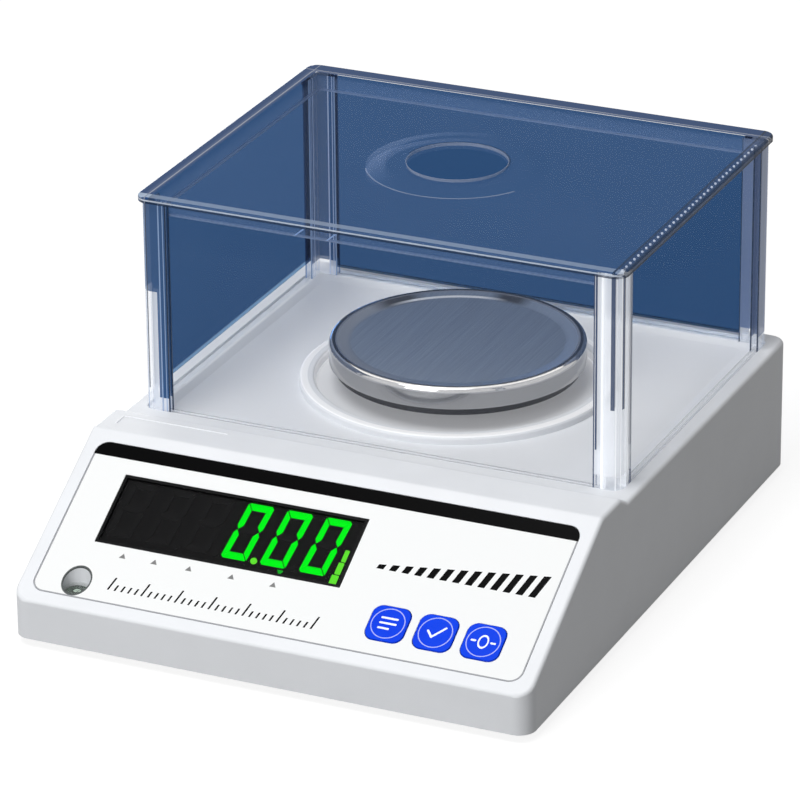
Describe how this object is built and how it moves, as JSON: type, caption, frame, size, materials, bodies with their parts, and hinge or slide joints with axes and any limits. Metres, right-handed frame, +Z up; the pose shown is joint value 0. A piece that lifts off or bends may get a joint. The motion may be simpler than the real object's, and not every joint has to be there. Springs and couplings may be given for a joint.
{
  "type": "digital precision scale",
  "caption": "Bench scale with a round steel weighing pan inside a clear draught shield with a lid, and a sloping panel with a lit digital display, keys and a spirit level.",
  "frame": {"origin": "on the table, under the middle of the whole part, feet at nominal height", "axes": "+X to the right and +Y to the back for a person who reads the display, +Z up"},
  "size_m": [0.25, 0.314, 0.1744],
  "materials": {
    "housing": "white moulded ABS with a fine satin gloss",
    "base_plate": "light grey moulded ABS",
    "zinc_steel": "zinc-plated steel",
    "battery_case": "black moulded case",
    "overlay": "printed white polycarbonate film, gloss",
    "window": "smoke-tinted clear acrylic",
    "display_black": "black display face",
    "lit_green": "lit green display bars",
    "unlit_bar": "unlit display bars",
    "circuit_board": "green glass-epoxy laminate",
    "components": "black component cases",
    "key_blue": "blue moulded keys",
    "switch_black": "black switch cases",
    "level_clear": "clear acrylic vial",
    "level_fluid": "green level fluid",
    "level_air": "air bubble",
    "ribbon": "grey ribbon cable",
    "cable_black": "black cable sheath",
    "aluminium": "machined aluminium",
    "silicone": "white silicone over the strain gauges",
    "steel_plate": "zinc-plated steel plate",
    "support_black": "black moulded pan support",
    "pad_rubber": "black rubber",
    "pan_steel": "finely brushed stainless steel with a polished rim",
    "clear_acrylic": "clear polished acrylic",
    "blue_acrylic": "blue-tinted clear acrylic",
    "brass": "turned brass"
  },
  "bodies": {
    "base": {"upper_housing": "housing", "lower_housing": "base_plate", "housing_screws": "zinc_steel", "battery_cover": "base_plate", "battery_cover_screw": "zinc_steel", "battery": "battery_case", "panel_overlay": "overlay", "display_window": "window", "display_module": "display_black", "display_digits": "lit_green", "display_ghosts": "unlit_bar", "display_board": "circuit_board", "key_switches": "switch_black", "board_screws": "zinc_steel", "level_cup": "level_clear", "level_liquid": "level_fluid", "level_bubble": "level_air", "level_lens": "level_clear", "main_board": "circuit_board", "main_board_parts": "components", "ribbon_cable": "ribbon", "chassis": "steel_plate", "chassis_screws": "zinc_steel", "cell_spacer": "aluminium", "load_cell": "aluminium", "gauge_covers": "silicone", "cell_screws": "zinc_steel", "cell_cable": "cable_black", "overload_stops": "aluminium", "rocker_frame": "switch_black", "dc_jack": "switch_black", "dc_jack_pin": "zinc_steel", "foot_nuts": "brass"},
    "platform": {"platform_carrier": "aluminium", "platform_screws": "zinc_steel", "pan_support": "support_black", "support_screws": "zinc_steel", "pan_pads": "pad_rubber"},
    "pan": {"weighing_pan": "pan_steel"},
    "shield": {"shield_post_front_left": "clear_acrylic", "shield_post_front_right": "clear_acrylic", "shield_post_rear_left": "clear_acrylic", "shield_post_rear_right": "clear_acrylic", "shield_panel_front": "clear_acrylic", "shield_panel_rear": "blue_acrylic", "shield_panel_left": "blue_acrylic", "shield_panel_right": "clear_acrylic"},
    "lid": {"shield_lid": "clear_acrylic"},
    "function_key": {"key_function": "key_blue"},
    "count_key": {"key_count": "key_blue"},
    "tare_key": {"key_tare": "key_blue"},
    "rocker": {"power_rocker": "switch_black"},
    "pad_front_left": {"foot_pad_front_left": "pad_rubber"},
    "stud_front_left": {"foot_stud_front_left": "zinc_steel"},
    "pad_front_right": {"foot_pad_front_right": "pad_rubber"},
    "stud_front_right": {"foot_stud_front_right": "zinc_steel"},
    "pad_rear_left": {"foot_pad_rear_left": "pad_rubber"},
    "stud_rear_left": {"foot_stud_rear_left": "zinc_steel"},
    "pad_rear_right": {"foot_pad_rear_right": "pad_rubber"},
    "stud_rear_right": {"foot_stud_rear_right": "zinc_steel"}
  },
  "joints": [
    {"name": "load_travel", "type": "slide", "parent": "base", "child": "platform", "axis": [0, 0, -1], "range_m": [0, 0.0002], "stiffness_N_per_m": 100000, "springref_m": -0.00006},
    {"name": "pan_lift", "type": "slide", "parent": "platform", "child": "pan", "axis": [0, 0, 1], "range_m": [0, 0.05]},
    {"name": "shield_lift", "type": "slide", "parent": "base", "child": "shield", "axis": [0, 0, 1], "range_m": [0, 0.12]},
    {"name": "lid_lift", "type": "slide", "parent": "shield", "child": "lid", "axis": [0, 0, 1], "range_m": [0, 0.06]},
    {"name": "function_key_press", "type": "slide", "parent": "base", "child": "function_key", "axis": [0, 0.5128, -0.8585], "range_m": [0, 0.0004], "stiffness_N_per_m": 1500, "springref_m": -0.0003},
    {"name": "count_key_press", "type": "slide", "parent": "base", "child": "count_key", "axis": [0, 0.5128, -0.8585], "range_m": [0, 0.0004], "stiffness_N_per_m": 1500, "springref_m": -0.0003},
    {"name": "tare_key_press", "type": "slide", "parent": "base", "child": "tare_key", "axis": [0, 0.5128, -0.8585], "range_m": [0, 0.0004], "stiffness_N_per_m": 1500, "springref_m": -0.0003},
    {"name": "power_rock", "type": "hinge", "parent": "base", "child": "rocker", "pos_m": [-0.055, 0.1511, 0.036], "axis": [0, 0, 1], "range_deg": [-16, 0]},
    {"name": "level_front_left", "type": "slide", "parent": "base", "child": "pad_front_left", "axis": [0, 0, 1], "range_m": [-0.004, 0.002]},
    {"name": "turn_front_left", "type": "hinge", "parent": "pad_front_left", "child": "stud_front_left", "pos_m": [-0.1, -0.13, 0.0059], "axis": [0, 0, 1], "range_deg": [-1440, 720]},
    {"name": "level_front_right", "type": "slide", "parent": "base", "child": "pad_front_right", "axis": [0, 0, 1], "range_m": [-0.004, 0.002]},
    {"name": "turn_front_right", "type": "hinge", "parent": "pad_front_right", "child": "stud_front_right", "pos_m": [0.1, -0.13, 0.0059], "axis": [0, 0, 1], "range_deg": [-1440, 720]},
    {"name": "level_rear_left", "type": "slide", "parent": "base", "child": "pad_rear_left", "axis": [0, 0, 1], "range_m": [-0.004, 0.002]},
    {"name": "turn_rear_left", "type": "hinge", "parent": "pad_rear_left", "child": "stud_rear_left", "pos_m": [-0.1, 0.13, 0.0059], "axis": [0, 0, 1], "range_deg": [-1440, 720]},
    {"name": "level_rear_right", "type": "slide", "parent": "base", "child": "pad_rear_right", "axis": [0, 0, 1], "range_m": [-0.004, 0.002]},
    {"name": "turn_rear_right", "type": "hinge", "parent": "pad_rear_right", "child": "stud_rear_right", "pos_m": [0.1, 0.13, 0.0059], "axis": [0, 0, 1], "range_deg": [-1440, 720]}
  ],
  "couplings": [
    {"joint": "turn_front_left", "follows": "level_front_left", "rad_per_m": 6283.2},
    {"joint": "turn_front_right", "follows": "level_front_right", "rad_per_m": 6283.2},
    {"joint": "turn_rear_left", "follows": "level_rear_left", "rad_per_m": 6283.2},
    {"joint": "turn_rear_right", "follows": "level_rear_right", "rad_per_m": 6283.2}
  ]
}
